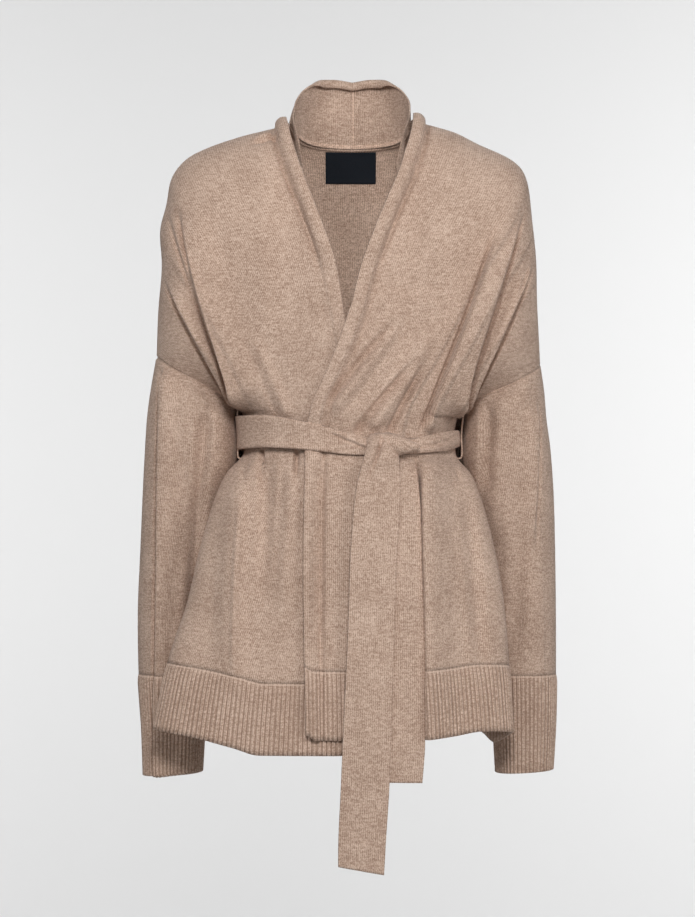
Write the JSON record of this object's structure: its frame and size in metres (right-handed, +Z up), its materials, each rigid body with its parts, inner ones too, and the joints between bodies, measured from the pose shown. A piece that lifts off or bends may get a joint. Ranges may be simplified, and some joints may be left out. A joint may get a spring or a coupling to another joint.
{
  "type": "belted wrap cardigan",
  "caption": "Fine knit wrap cardigan with a shawl collar, drop shoulders, long ribbed sleeves, ribbed hem and a soft tied belt, in its worn hollow form",
  "frame": {"origin": "the base of the wearer's neck, level with the shoulder line, where the wearer holds the garment up", "axes": "+X towards the wearer's left side, -Y towards the front, +Z up; the height with the hanging belt end is the longest extent"},
  "size_m": [0.478, 0.2565, 0.8866],
  "materials": {
    "knit": "soft heathered beige-brown stockinette with a light nap",
    "rib": "narrow ribbing of the same heathered yarn",
    "belt": "double knit strap of the same heathered yarn",
    "label": "bare dark woven tape"
  },
  "bodies": {
    "root": {"back": "knit", "front_right": "knit", "front_left": "knit", "sleeve_right": "knit", "sleeve_left": "knit", "collar_right": "knit", "collar_left": "knit", "cuff_right": "rib", "cuff_left": "rib", "hem_back": "rib", "hem_right": "rib", "hem_left": "rib", "belt_waist": "belt", "belt_knot": "belt", "belt_end_long": "belt", "belt_end_short": "belt", "belt_loop_right": "belt", "belt_loop_left": "belt", "neck_label": "label"}
  },
  "joints": []
}
